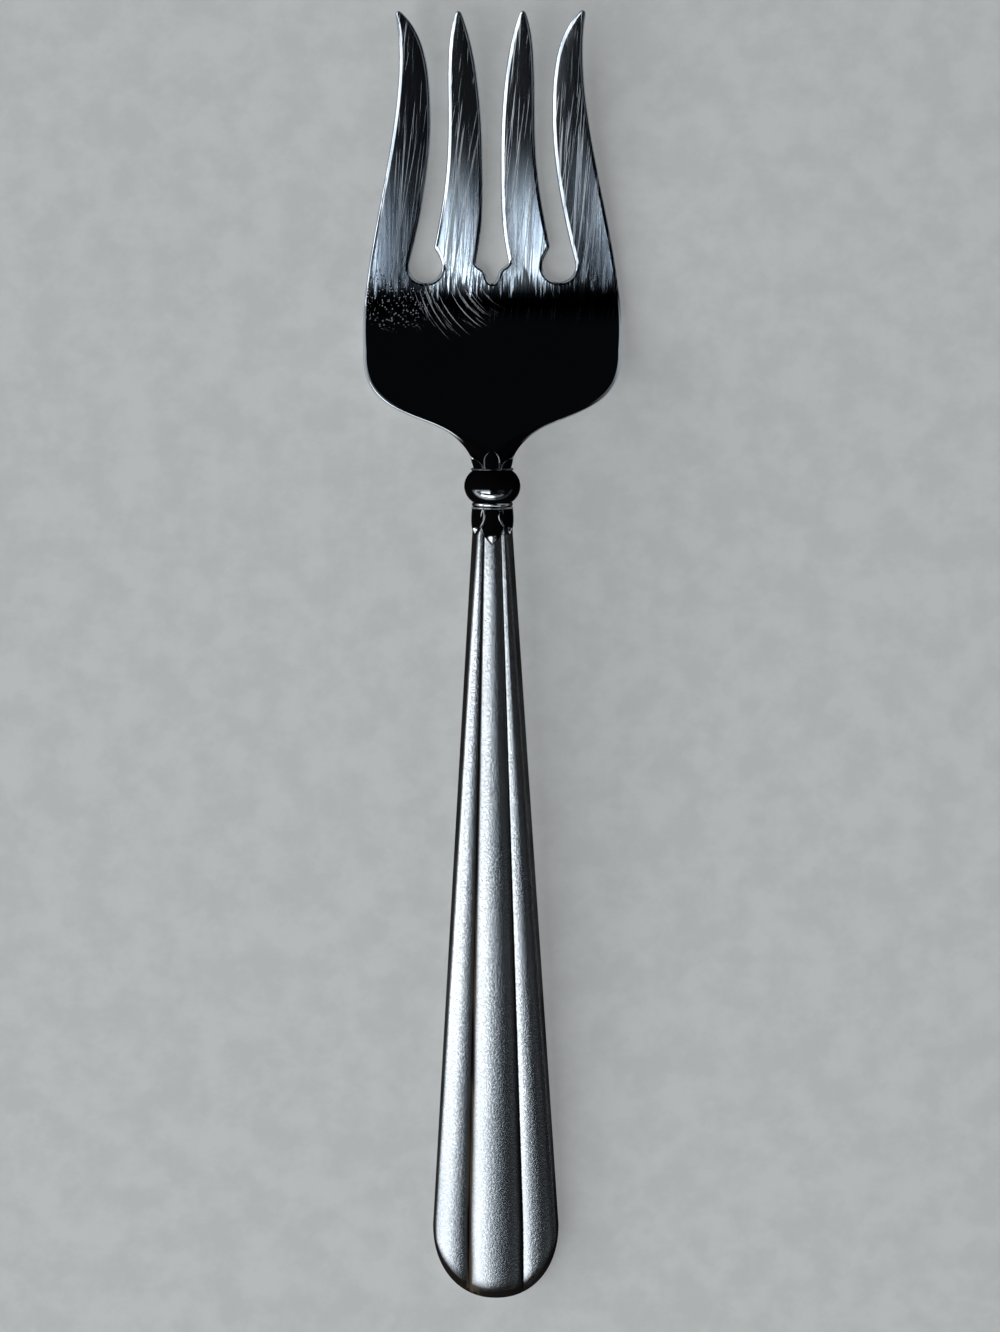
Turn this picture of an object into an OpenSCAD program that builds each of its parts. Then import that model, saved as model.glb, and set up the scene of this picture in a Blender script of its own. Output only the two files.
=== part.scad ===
// Serving fork, lying face up on a table.
// A forged head with four tines carries a round tang. The tang passes through a stacked bolster
// (upper leaf cup, knop, collar ring and lower leaf cup) into a hollow handle of two thin shells,
// where a filler locks it.
// Millimetres. +Y runs from the handle's end to the tine tips, +Z is up and the table is Z = 0.

/* [Handle] */
// Length of the handle, from its rounded end to the lower leaf cup
handle_length = 132.8; // [110:0.2:150]
// Width of the handle at its widest place, near the rounded end
handle_end_width = 21.1; // [17:0.1:26]
// Diameter of the handle's round mouth
handle_mouth_diameter = 6.3; // [5.8:0.1:7]
// Length of the handle's rounded end
end_length = 12.5; // [8:0.1:16]
// Fullness of the rounded end: 2 is an ellipse and more is squarer
end_fullness = 2.15; // [2:0.05:3]
// Length over which both shells roll over to meet at the handle's end
end_roll = 2.2; // [1:0.1:3]
// Height of the middle reed above the shells' joint at the handle's end
reed_height = 2.8; // [2.4:0.1:4]
// Height of the side reeds above the shells' joint at the handle's end
side_reed_height = 1.95; // [1.7:0.05:2.4]
// Length over which the side reeds turn round towards the handle's mouth
mouth_blend = 50; // [30:1:80]
// Depth of the grooves beside the middle reed at the handle's end
groove_depth_end = 1.1; // [0.5:0.05:1.3]
// Depth of the grooves beside the middle reed at the handle's mouth
groove_depth_mouth = 0.4; // [0.2:0.05:0.6]
// Depth of the back shell below the shells' joint at the handle's end
back_depth = 2.4; // [2:0.1:3.5]
// Thickness of the shells' sheet metal
shell_wall = 0.6; // [0.4:0.05:0.8]
// Slope of the handle at the bolster
handle_tilt = 3.2; // [2:0.1:5]
// How far the handle's end bends below a straight handle
handle_arch = 2; // [0:0.1:3]

/* [Bolster] */
// Thickness of the lower leaf cup's plate
lower_plate = 0.4; // [0.3:0.05:0.8]
// Length of the collar ring along the handle
ring_length = 0.75; // [0.6:0.05:1.5]
// Diameter of the collar ring
ring_diameter = 6.9; // [6.4:0.1:8]
// Length of the knop along the handle
knop_length = 5.3; // [4.4:0.05:6]
// Diameter of the knop at its middle
knop_diameter = 9.4; // [8.4:0.1:11]
// Diameter of the knop at its two ends
knop_end_diameter = 6.5; // [6:0.1:7.2]
// Thickness of the upper leaf cup's plate
upper_plate = 0.4; // [0.3:0.05:0.8]
// Thickness of a leaf
leaf_thickness = 0.3; // [0.25:0.05:0.5]
// Width of the lower cup's leaves
lower_leaf_width = 4; // [3.2:0.1:4.6]
// Length of the lower cup's front and back leaves
lower_leaf_length = 6; // [5:0.1:8]
// Length of the lower cup's side leaves
lower_side_leaf_length = 4.2; // [3:0.1:5]
// Width of the upper cup's leaves
upper_leaf_width = 2.7; // [2.2:0.1:3.4]
// Length of the upper cup's front and back leaves
upper_leaf_length = 3; // [2.4:0.1:3.4]
// Length of the upper cup's side leaves
upper_side_leaf_length = 2.2; // [1.8:0.1:2.8]

/* [Tang] */
// Diameter of the tang in the bolster
tang_diameter = 3.2; // [2.6:0.1:3.4]
// Diameter of the tang at its tip
tang_tip_diameter = 2.4; // [1.6:0.1:2.8]
// Length of the tang's taper inside the handle
tang_taper = 56; // [30:1:64]
// Gap between the tang and what it passes through
tang_clearance = 0.05; // [0.03:0.01:0.1]
// Gap between the filler and the shells, and between the leaves and what they clasp
seat_clearance = 0.05; // [0.03:0.01:0.1]

/* [Head] */
// Width of the head across the palm
head_width = 43.4; // [40:0.2:48]
// Diameter of the neck at the bolster
neck_diameter = 6.4; // [5.8:0.1:7]
// Radius of the hollow curve in which the neck widens from its foot
neck_hollow = 4.4; // [3.8:0.1:5.2]
// Length from the foot of the neck to the bottom of the middle slot
palm_length = 31.3; // [28:0.1:36]
// Length of the tines, from the bottom of the middle slot to the tips
tine_length = 45.3; // [38:0.1:52]
// Height of the shoulders' inner ends above the foot of the neck
shoulder_height = 7.6; // [6.5:0.1:9]
// Distance from the foot of the neck to the widest place of the palm
widest_height = 20; // [17:0.5:24]
// Distance between the tips of the outer tines
outer_tip_spread = 30.8; // [29:0.1:33]
// Distance between the tips of the inner tines
inner_tip_spread = 10.8; // [10:0.1:12]
// Width of a tine's blunt tip
tip_width = 0.9; // [0.6:0.1:1.4]
// Narrowest width of the middle slot
middle_gap = 3; // [2.4:0.1:3.6]
// Width of an inner tine where the slots beside it are narrow
inner_tine_width = 5.8; // [5.2:0.1:6.4]
// Narrowest width of the side slots
side_gap = 2.9; // [2.4:0.1:3.4]
// Diameter of the round ends of the side slots
slot_end_diameter = 5.5; // [4.6:0.1:6]
// Distance between the round ends of the two side slots
slot_end_spread = 22.5; // [21:0.1:24]
// Width of the middle slot above the throat at its bottom
middle_root_width = 5.4; // [4.8:0.1:6.2]

/* [Head section] */
// Thickness of the palm
palm_thickness = 2.2; // [1.6:0.1:2.8]
// Thickness of the tines at their tips
tip_thickness = 1.1; // [0.8:0.1:1.6]
// Slope at which the neck's middle line leaves the bolster, downwards
neck_fall = 3; // [1:0.5:6]
// Rise of the tine tips above the lowest place of the palm
tip_rise = 9.6; // [6:0.1:12]
// Radius of the dish across the head
dish_radius = 420; // [300:10:600]
// Depth of the flats on which the fork rests
rest_flat_depth = 0.2; // [0.1:0.05:0.3]

/* [Hidden] */
turned_fn = 64;
dish_fn = 192;
polished = "#b9bec6";
satin = "#9aa0a8";
cement = "#8d8375";
// Reach of a cutting shape past what it cuts
past = 1;

// Places across the handle, as shares of its half width: the grooves and the side reeds' crests
groove_at = 0.425;
crest_at = 0.6;
// Fullness of the side reeds' outer slopes: 2 is an ellipse and more is squarer
side_fullness = 2.8;
// Facets across the middle reed's half, a groove's outer flank and a side reed, and along the handle
middle_steps = 6;
flank_steps = 3;
side_steps = 6;
roll_steps = 5;
length_steps = 9;
// Steps along the neck's flare
flare_steps = 8;
// Recess of the filler below the handle's mouth, and half the thickness of its rim
filler_recess = 0.2;
filler_rim = 0.05;

// Stations along the handle's axis, measured from its rounded end
ring_start = handle_length + lower_plate;
knop_start = ring_start + ring_length;
upper_start = knop_start + knop_length;
neck_start = upper_start + upper_plate;
mouth_radius = handle_mouth_diameter / 2;
end_half = handle_end_width / 2;
bore_radius = tang_diameter / 2 + tang_clearance;
// Flat sides of the hole that the tang leaves in the filler
filler_hole_sides = 12;

// The fork's length and the places of the handle's axis and of the head in the part's frame
head_length = palm_length + tine_length;
end_shift = handle_arch * sin(handle_tilt);
overall_length = neck_start * cos(handle_tilt) + head_length - end_shift;
heel_drop = (handle_arch + back_depth) * cos(handle_tilt) - end_roll * sin(handle_tilt);
axis_y = -overall_length / 2 - end_shift;
axis_z = heel_drop - rest_flat_depth;
neck_y = axis_y + neck_start * cos(handle_tilt);
neck_z = axis_z + neck_start * sin(handle_tilt);

// Along the head, measured from the foot of the neck: the straight neck, the place where its
// flare meets the shoulders, the end of its taper and the palm's lowest place
neck_straight = upper_leaf_length + 0.3;
flare_join = shoulder_height - 3;
taper_end = neck_straight + 11;
belly_height = palm_length - 1.8;
belly_z = palm_thickness / 2 - rest_flat_depth;
dish_z = belly_z + dish_radius;
profile_step = 1.8;

// Landmarks of the head's right half, from the foot of the neck to the middle slot
neck_radius = neck_diameter / 2;
tip_radius = tip_width / 2;
slot_end_radius = slot_end_diameter / 2;
shoulder = [neck_radius + 7.6, shoulder_height];
widest = [head_width / 2, widest_height];
outer_tip = [outer_tip_spread / 2, head_length - tip_radius];
inner_tip = [inner_tip_spread / 2, head_length - tip_radius];
middle_waist = [middle_gap / 2, up_tine(0.44)];
inner_waist = [middle_waist[0] + inner_tine_width, up_tine(0.68)];
outer_waist = [inner_waist[0] + side_gap, up_tine(0.6)];
slot_end = [slot_end_spread / 2, palm_length + 2.9];
slot_cusp = [slot_end[0] - 1.45, slot_end[1] + 3.1];
middle_root = [middle_root_width / 2, palm_length + 3.5];
slot_throat = [middle_root[0] - 1.45, palm_length + 2.2];
slot_bottom = [0, palm_length];

// Directions of the outline at those landmarks, in degrees from +X
flare_slope = 44;
shoulder_slope = 21;
side_lean = 86;
outer_tip_sides = [-10, 143];
inner_tip_sides = [24, 160];
slot_end_sides = [8, -208];

// Rise of the lower long leaves at their tips
tip_lift = 0.12;

// Directions of the leaves round the handle's axis, from the front
front_leaf = [0];
back_leaf = [180];
front_side_leaves = [-52, 52];
back_side_leaves = [-128, 128];

function mix(a, b, share) = a + (b - a) * share;
function up_tine(share) = palm_length + tine_length * share;
function towards(angle) = [cos(angle), sin(angle)];
function mirrored(points) = [for (i = [len(points) - 1:-1:0]) [-points[i][0], points[i][1]]];
function neck_flare(v) =
    neck_radius + v * v / (2 * neck_hollow) + pow(max(0, v - flare_join), 2);
function smooth(share) = share * share * (3 - 2 * share);
function within(share) = min(1, max(0, share));

// Points of a curve after its first one: it leaves a in one direction and reaches b in another
function bend(a, leave, b, reach, steps, pull = 0.34) =
    let (arm = norm(b - a) * pull, h = a + arm * towards(leave), k = b - arm * towards(reach))
    [for (i = [1:steps])
        let (t = i / steps, u = 1 - t)
        u * u * u * a + 3 * u * u * t * h + 3 * u * t * t * k + t * t * t * b];

// Points of an arc after its first one
function arc(centre, radius, sides, steps) =
    [for (i = [1:steps]) centre + radius * towards(mix(sides[0], sides[1], i / steps))];

// Places children in the handle's own frame: its axis is +Y and the shells' joint is Z = 0
module on_handle() {
    translate([0, axis_y, axis_z]) rotate([handle_tilt, 0, 0]) children();
}

// Turns a profile round the handle's axis: X is the radius and Y runs along the axis
module turned(start) {
    translate([0, start, 0]) rotate([-90, 0, 0]) rotate_extrude($fn = turned_fn) children();
}

// A disc with a rounded rim and a bore for the tang
module bead_disc(start, radius, length) {
    turned(start) {
        translate([bore_radius, 0]) square([radius - length / 2 - bore_radius, length]);
        translate([radius - length / 2, length / 2]) circle(d = length, $fn = turned_fn);
    }
}

// One leaf blank, from its base on the X axis to its tip
module leaf_blank(width, length) {
    base = [0.43 * width, 0];
    edge = concat([base], bend(base, 70, [0, length], 135, 7, 0.45));
    polygon(concat(edge, mirrored(edge)));
}

// Leaves round the handle's axis, cut from a turned wall that the children draw in profile
module leaf_ring(start, way, turns, width, length) {
    for (turn = turns)
        rotate([0, turn, 0]) intersection() {
            turned(start) children();
            translate([0, start, 0]) linear_extrude(knop_diameter)
                scale([1, way]) leaf_blank(width, length);
        }
}

// A leaf wall in profile, outside a list of [radius, height] points
module leaf_wall(points) {
    polygon(concat([for (p = points) p + [seat_clearance, 0]],
                   [for (i = [len(points) - 1:-1:0])
                       points[i] + [seat_clearance + leaf_thickness, 0]]));
}

// A solid between two grids of points, the upper one above the lower one
module sandwich(upper, lower) {
    last_row = len(upper) - 1;
    last_column = len(upper[0]) - 1;
    width = last_column + 1;
    points = [for (grid = [upper, lower]) for (row = grid) for (p = row) p];
    function top(r, c) = r * width + c;
    function base(r, c) = (last_row + 1 + r) * width + c;
    function apart(i, j) = norm(points[i] - points[j]) > 1e-6;
    function solid_faces(faces) =
        [for (f = faces) if (apart(f[0], f[1]) && apart(f[1], f[2]) && apart(f[2], f[0])) f];
    function pair(a, b, c, d) = [[a, b, c], [a, c, d]];
    skins = [for (r = [0:last_row - 1]) for (c = [0:last_column - 1]) for (f = concat(
        pair(top(r, c), top(r + 1, c), top(r + 1, c + 1), top(r, c + 1)),
        pair(base(r, c), base(r, c + 1), base(r + 1, c + 1), base(r + 1, c)))) f];
    flanks = [for (r = [0:last_row - 1]) for (f = concat(
        pair(base(r, 0), base(r + 1, 0), top(r + 1, 0), top(r, 0)),
        pair(base(r, last_column), top(r, last_column),
             top(r + 1, last_column), base(r + 1, last_column)))) f];
    ends = [for (c = [0:last_column - 1]) for (f = concat(
        pair(base(0, c), top(0, c), top(0, c + 1), base(0, c + 1)),
        pair(base(last_row, c), base(last_row, c + 1),
             top(last_row, c + 1), top(last_row, c)))) f];
    polyhedron(points, solid_faces(concat(skins, flanks, ends)));
}

// Shares of the half width at which the handle's lengthwise lines run, from edge to edge
half_lines = concat(
    [for (i = [1:middle_steps]) groove_at * sin(90 * i / middle_steps)],
    [for (i = [1:flank_steps]) mix(crest_at, groove_at, cos(90 * i / flank_steps))],
    [for (i = [1:side_steps]) sin(mix(asin(crest_at), 90, i / side_steps))]);
lines = concat([for (i = [len(half_lines) - 1:-1:0]) -half_lines[i]], [0], half_lines);

function half_width(y) =
    mix(end_half, mouth_radius, within((y - end_length) / (handle_length - end_length)));
function joint_z(y) = -handle_arch * pow(1 - y / handle_length, 2);
function arch(share) = sqrt(max(0, 1 - share * share));
function crest_height(y) = mix(reed_height, mouth_radius, y / handle_length);
function side_height(y) = mix(side_reed_height, mouth_radius * arch(crest_at), y / handle_length);
function groove_height(y) = crest_height(y) * arch(groove_at)
    - mix(groove_depth_end, groove_depth_mouth, y / handle_length);

// How far a side reed has turned round, from a full outer slope to a part of the round mouth
function roundness(y) = smooth(within(1 - (handle_length - y) / mouth_blend));
function side_slope(share, y) =
    let (out = (share - crest_at) / (1 - crest_at))
    mix(sqrt(max(0, 1 - pow(out, side_fullness))), arch(share) / arch(crest_at), roundness(y));

// Height of the reeded front over a place across the handle
function front_height(share, y, inset) =
    let (groove = groove_height(y) - inset, side = side_height(y) - inset)
    share <= groove_at ? mix(groove, crest_height(y) - inset, arch(share / groove_at))
    : share <= crest_at ? mix(groove, side, arch((crest_at - share) / (crest_at - groove_at)))
    : side * side_slope(share, y);
function back_height(share, y) = mix(back_depth, mouth_radius, y / handle_length) * arch(share);

// Where a lengthwise line meets the rounded end
function line_end(share) =
    end_length * (1 - pow(max(0, 1 - pow(share, end_fullness)), 1 / end_fullness));
function line_station(share, row, inset, mouth) =
    let (end = line_end(share) + inset)
    row <= roll_steps ? end + end_roll * (1 - cos(90 * row / roll_steps))
    : mix(end + end_roll, mouth, (row - roll_steps) / length_steps);
function roll(row) = sin(90 * within(row / roll_steps));

// The front and back of the handle as grids of points, moved inwards by the inset, with a rim
function front_grid(inset, mouth, rim = 0) =
    [for (row = [0:roll_steps + length_steps]) [for (line = lines)
        let (share = abs(line), y = line_station(share, row, inset, mouth),
             rise = roll(row) * front_height(share, y, inset))
        [line * (half_width(y) - inset), y, joint_z(y) + max(rim, rise)]]];
function back_grid(inset, mouth, rim = 0) =
    [for (row = [0:roll_steps + length_steps]) [for (line = lines)
        let (share = abs(line), y = line_station(share, row, inset, mouth),
             drop = roll(row) * (back_height(share, y) - inset * arch(share)))
        [line * (half_width(y) - inset), y, joint_z(y) - max(rim, drop)]]];

// Thickness and mid height of the head along its middle
function head_thickness(v) =
    v < belly_height ?
        mix(neck_diameter, palm_thickness, smooth(within((v - neck_straight) / (taper_end - neck_straight))))
    : mix(palm_thickness, tip_thickness, (v - belly_height) / (head_length - belly_height));
function head_spine(v) =
    let (t = v / belly_height)
    v < 0 ? neck_z - v * tan(neck_fall)
    : v < belly_height ?
        mix(neck_z, belly_z, smooth(t)) - belly_height * tan(neck_fall) * t * pow(1 - t, 2)
    : belly_z + tip_rise * pow((v - belly_height) / (head_length - belly_height), 2);
function head_front(v) = head_spine(v) + head_thickness(v) / 2;
function head_back(v) = head_spine(v) - head_thickness(v) / 2;
function sheet_back(v) = max(head_back(v), head_front(v) - palm_thickness);
function sheet_middle(v) = (head_front(v) + sheet_back(v)) / 2;

// The right half of the head's outline, from the neck's flare to the middle slot's bottom
function right_outline() =
    let (join = [neck_flare(flare_join), flare_join],
         outer_end = outer_tip + tip_radius * towards(outer_tip_sides[0]),
         outer_return = outer_tip + tip_radius * towards(outer_tip_sides[1]),
         inner_end = inner_tip + tip_radius * towards(inner_tip_sides[0]),
         inner_return = inner_tip + tip_radius * towards(inner_tip_sides[1]),
         slot_entry = slot_end + slot_end_radius * towards(slot_end_sides[0]))
    concat([[shoulder[0], -past], join],
        bend(join, flare_slope, shoulder, shoulder_slope, 4),
        bend(shoulder, shoulder_slope, widest, 92, 8, 0.46),
        bend(widest, side_lean, outer_end, 80, 12, 0.29),
        arc(outer_tip, tip_radius, outer_tip_sides, 4),
        bend(outer_return, 222, outer_waist, 270, 7),
        bend(outer_waist, 270, slot_entry, 285, 6, 0.3),
        arc(slot_end, slot_end_radius, slot_end_sides, 18),
        [slot_cusp],
        bend(slot_cusp, 102, inner_waist, 90, 7, 0.42),
        bend(inner_waist, 90, inner_end, 111, 5, 0.3),
        arc(inner_tip, tip_radius, inner_tip_sides, 4),
        bend(inner_return, 248, middle_waist, 270, 8, 0.3),
        bend(middle_waist, 270, middle_root, 282, 5, 0.38),
        bend(middle_root, 252, slot_throat, 230, 3),
        bend(slot_throat, 242, slot_bottom, 198, 6, 0.36));

module head_plan() {
    right = right_outline();
    polygon(concat(right, mirrored([for (i = [0:len(right) - 2]) right[i]])));
}

// Places along the head at which its side profile is drawn
head_stations = [for (v = [-past:profile_step:head_length + 2 * past]) v];

// A dished slab between two lists of heights: its side profile turned about a line above the head
module dished(front, back) {
    half_turn = 2 * asin(head_width / 2 / dish_radius);
    last = len(front) - 1;
    rotate([-90, 0, 0]) rotate([0, 0, 90 - half_turn])
        rotate_extrude(angle = 2 * half_turn, $fn = dish_fn)
            polygon(concat([for (i = [0:last]) [dish_z - back[i], head_stations[i]]],
                           [for (i = [last:-1:0]) [dish_z - front[i], head_stations[i]]]));
}

// A trumpet that rounds the neck and leaves the palm alone
module neck_round() {
    flare = [for (i = [0:flare_steps])
        let (v = shoulder_height * i / flare_steps) [neck_flare(v), v]];
    turned(neck_start)
        polygon(concat([[0, 0]], flare, [[head_width, taper_end],
                       [head_width, head_length + taper_end], [0, head_length + taper_end]]));
}

// The head's sheet: its outline cut from a dished slab, with the neck's front rounded
module head_sheet() {
    intersection() {
        translate([0, neck_y, 0]) linear_extrude(dish_radius / 2, center = true) head_plan();
        translate([0, neck_y, dish_z])
            dished([for (v = head_stations) head_front(v)], [for (v = head_stations) sheet_back(v)]);
        on_handle() neck_round();
    }
}

// The neck's round core, which runs out into the back of the palm
module neck_core() {
    intersection() {
        translate([0, neck_y, dish_z])
            dished([for (v = head_stations) sheet_middle(v)],
                   [for (v = head_stations) sheet_middle(v) - 2 * neck_diameter]);
        on_handle() turned(neck_start) square([neck_radius, taper_end]);
    }
}

// The tang from inside the neck to its tip: its profile, grown by a clearance
module tang_profile(clearance) {
    radius = tang_diameter / 2 + clearance;
    taper_start = handle_length - past;
    polygon([[0, taper_start - tang_taper - clearance],
             [tang_tip_diameter / 2 + clearance, taper_start - tang_taper - clearance],
             [radius, taper_start], [radius, neck_start + past], [0, neck_start + past]]);
}

module below_table() {
    translate([-head_width, -overall_length, -head_width])
        cube([2 * head_width, 2 * overall_length, head_width]);
}

module fork_head() {
    color(polished) {
        difference() {
            union() {
                head_sheet();
                neck_core();
            }
            below_table();
        }
        on_handle() turned(0) tang_profile(0);
    }
}

module upper_leaf_cup() {
    lap = upper_plate / 2;
    start = neck_start - lap;
    reach = upper_leaf_length + lap;
    side_reach = upper_side_leaf_length + lap;
    color(polished) on_handle() {
        bead_disc(upper_start, neck_radius + seat_clearance + leaf_thickness, upper_plate);
        leaf_ring(start, 1, concat(front_leaf, back_leaf), upper_leaf_width, reach)
            leaf_wall([[neck_radius, 0], [neck_radius, reach]]);
        leaf_ring(start, 1, front_side_leaves, upper_leaf_width, side_reach)
            leaf_wall([for (i = [0:flare_steps]) let (v = side_reach * i / flare_steps)
                [neck_flare(v), v]]);
        leaf_ring(start, 1, back_side_leaves, upper_leaf_width, side_reach)
            leaf_wall([[neck_radius, 0], [neck_radius, side_reach]]);
    }
}

module knop() {
    bulge = (knop_diameter - knop_end_diameter) / 2;
    belly_radius = (pow(knop_length / 2, 2) + pow(bulge, 2)) / (2 * bulge);
    color(polished) on_handle() turned(knop_start) intersection() {
        translate([knop_diameter / 2 - belly_radius, knop_length / 2])
            circle(belly_radius, $fn = turned_fn);
        translate([bore_radius, 0]) square([knop_diameter, knop_length]);
    }
}

module collar_ring() {
    color(polished) on_handle() bead_disc(ring_start, ring_diameter / 2, ring_length);
}

module lower_leaf_cup() {
    lap = lower_plate / 2;
    start = handle_length + lap;
    reach = lower_leaf_length + lap;
    side_reach = lower_side_leaf_length + lap;
    color(satin) on_handle() {
        bead_disc(handle_length, mouth_radius + seat_clearance + leaf_thickness, lower_plate);
        leaf_ring(start, -1, concat(front_leaf, back_leaf), lower_leaf_width, reach)
            leaf_wall([[mouth_radius, 0], [mouth_radius + tip_lift, -reach]]);
        leaf_ring(start, -1, concat(front_side_leaves, back_side_leaves), lower_leaf_width, side_reach)
            leaf_wall([[mouth_radius, 0], [half_width(handle_length - side_reach), -side_reach]]);
    }
}

module handle_front_shell() {
    color(satin) on_handle()
        sandwich(front_grid(0, handle_length), front_grid(shell_wall, handle_length));
}

module handle_back_shell() {
    color(satin) difference() {
        on_handle() sandwich(back_grid(shell_wall, handle_length), back_grid(0, handle_length));
        below_table();
    }
}

module handle_filler() {
    inset = shell_wall + seat_clearance;
    mouth = handle_length - filler_recess;
    flat_gap = bore_radius / cos(180 / filler_hole_sides) - tang_diameter / 2;
    color(cement) on_handle() difference() {
        sandwich(front_grid(inset, mouth, filler_rim), back_grid(inset, mouth, filler_rim));
        rotate([-90, 0, 0]) rotate_extrude($fn = filler_hole_sides) tang_profile(flat_gap);
    }
}

fork_head();
upper_leaf_cup();
knop();
collar_ring();
lower_leaf_cup();
handle_front_shell();
handle_back_shell();
handle_filler();
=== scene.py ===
# Serving fork, lying face up on a pale floor. Sizes are in millimetres until a mesh is made.
import math

import bpy
import numpy as np
from mathutils import Matrix, Vector
from mathutils.geometry import delaunay_2d_cdt
from mathutils.kdtree import KDTree


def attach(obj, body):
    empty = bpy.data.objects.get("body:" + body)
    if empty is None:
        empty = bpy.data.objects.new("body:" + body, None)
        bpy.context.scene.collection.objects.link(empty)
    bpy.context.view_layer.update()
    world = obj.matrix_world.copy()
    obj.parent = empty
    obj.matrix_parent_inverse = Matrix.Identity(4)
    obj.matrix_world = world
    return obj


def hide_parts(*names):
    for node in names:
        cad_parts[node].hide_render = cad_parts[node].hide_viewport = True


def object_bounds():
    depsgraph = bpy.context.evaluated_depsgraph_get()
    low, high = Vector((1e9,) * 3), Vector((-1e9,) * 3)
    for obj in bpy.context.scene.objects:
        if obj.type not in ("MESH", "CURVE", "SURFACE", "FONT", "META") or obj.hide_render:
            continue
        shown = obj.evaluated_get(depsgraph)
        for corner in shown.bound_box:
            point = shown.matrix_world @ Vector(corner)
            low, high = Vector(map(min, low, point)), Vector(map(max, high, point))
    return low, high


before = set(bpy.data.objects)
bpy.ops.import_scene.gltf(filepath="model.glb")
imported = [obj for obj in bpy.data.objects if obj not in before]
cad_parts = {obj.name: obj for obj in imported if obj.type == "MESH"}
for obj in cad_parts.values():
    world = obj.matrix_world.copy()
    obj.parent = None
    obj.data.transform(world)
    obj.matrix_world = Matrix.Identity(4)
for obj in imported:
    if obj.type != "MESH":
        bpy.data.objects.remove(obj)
cadLow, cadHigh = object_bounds()
mm = 0.001
micrometre = 0.000001
print("frame loaded:", ", ".join(sorted(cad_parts)))


def mix(a, b, share):
    return a + (b - a) * share


def within(share):
    return np.clip(share, 0.0, 1.0)


def smooth(share):
    share = within(share)
    return share * share * (3 - 2 * share)


# Eases from 0 to 1 while a value runs over the reach from its start
def rise(value, start, reach):
    return smooth((value - start) / reach)


def arch(share):
    return np.sqrt(np.maximum(0.0, 1 - share * share))


def towards(angle):
    return np.array([math.cos(math.radians(angle)), math.sin(math.radians(angle))])


# How every piece is shaded
shading = {
    "sharpAngle": 38.0,          # degrees, sharper edges stay hard
    "wallFade": (-0.1, 0.35),    # start and reach of the painted shade on flanks, from upright walls on
}


# Makes a mesh object from points in millimetres and hangs it on the fork
# Flanks: the most painted shade on leaning faces, the lean at which it starts and the band it grows over
def makePiece(name, points, faces, node, material, normals=None, patinaAndShade=None, flanks=None):
    mesh = bpy.data.meshes.new(name)
    mesh.from_pydata([Vector(p) * mm for p in points], [], faces)
    mesh.shade_smooth()
    if normals is None:
        mesh.set_sharp_from_angle(angle=math.radians(shading["sharpAngle"]))
    else:
        mesh.normals_split_custom_set_from_vertices([Vector(n).normalized() for n in normals])
    tarnishAndShade = np.zeros(len(points))
    if flanks is not None:
        # painted shade: leaning faces darkened, standing for the dark mirrored floor beside the fork
        most, start, band = flanks
        upward = np.array([abs(vertex.normal.z) for vertex in mesh.vertices])
        tarnishAndShade = most * smooth((start - upward) / band) * rise(upward, *shading["wallFade"])
    if patinaAndShade is not None:
        tarnishAndShade = np.maximum(tarnishAndShade, patinaAndShade)
    layer = mesh.attributes.new("patinaAndShade", "FLOAT", "POINT")
    layer.data.foreach_set("value", tarnishAndShade.astype(np.float32))
    mesh.materials.append(material)
    piece = bpy.data.objects.new(name, mesh)
    bpy.context.scene.collection.objects.link(piece)
    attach(piece, "root")
    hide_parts(node)
    print(name, "has", len(points), "points and", len(faces), "faces")


# A socket of a material that can be written into sums
class Wire:
    def __init__(self, tree, socket=None):
        self.tree = tree
        self.socket = socket

    def node(self, kind, settings, inputs, output=0):
        made = self.tree.nodes.new(kind)
        for name, value in settings.items():
            setattr(made, name, value)
        for key, value in inputs.items():
            if isinstance(value, Wire):
                self.tree.links.new(value.socket, made.inputs[key])
            else:
                made.inputs[key].default_value = value
        return Wire(self.tree, made.outputs[output])

    def other(self, output):
        return Wire(self.tree, self.socket.node.outputs[output])

    def maths(self, operation, first, second):
        return self.node("ShaderNodeMath", {"operation": operation}, {0: first, 1: second})

    def __add__(self, value):
        return self.maths("ADD", self, value)

    __radd__ = __add__

    def __sub__(self, value):
        return self.maths("SUBTRACT", self, value)

    def __rsub__(self, value):
        return self.maths("SUBTRACT", value, self)

    def __mul__(self, value):
        return self.maths("MULTIPLY", self, value)

    __rmul__ = __mul__

    def __pow__(self, value):
        return self.maths("POWER", self, value)

    def size(self):
        return self.maths("ABSOLUTE", self, 0.0)

    def eased(self, low, high, toLow=0.0, toHigh=1.0):
        return self.node("ShaderNodeMapRange", {"interpolation_type": "SMOOTHSTEP"},
                         {0: self, 1: low, 2: high, 3: toLow, 4: toHigh})

    def tinted(self, plain, full):
        return self.node("ShaderNodeMix", {"data_type": "RGBA"}, {0: self, 6: plain, 7: full}, 2)

    def noise(self, place, stretch, detail=3.0, roughness=0.55, distortion=0.0):
        scaled = self.node("ShaderNodeVectorMath", {"operation": "MULTIPLY"}, {0: place, 1: stretch})
        return self.node("ShaderNodeTexNoise", {}, {"Vector": scaled, "Scale": 1.0, "Detail": detail,
                                                    "Roughness": roughness, "Distortion": distortion})

    def mark(self, name):
        return self.node("ShaderNodeAttribute", {"attribute_name": name}, {}, "Fac")


# A new material: gives its wire and its main shader
def newMaterial(name):
    material = bpy.data.materials.new(name)
    material.use_nodes = True
    tree = material.node_tree
    return material, Wire(tree), tree.nodes["Principled BSDF"]


def plug(wire, shader, **sockets):
    for name, value in sockets.items():
        wire.tree.links.new(value.socket, shader.inputs[name.replace("_", " ")])


# Lays a dull dark film over a metal, as thick as cover says: tarnish in hollows, painted shade elsewhere
tarnishAndShadeFilm = {"roughness": 0.8, "gloss": 0.0}


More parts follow.
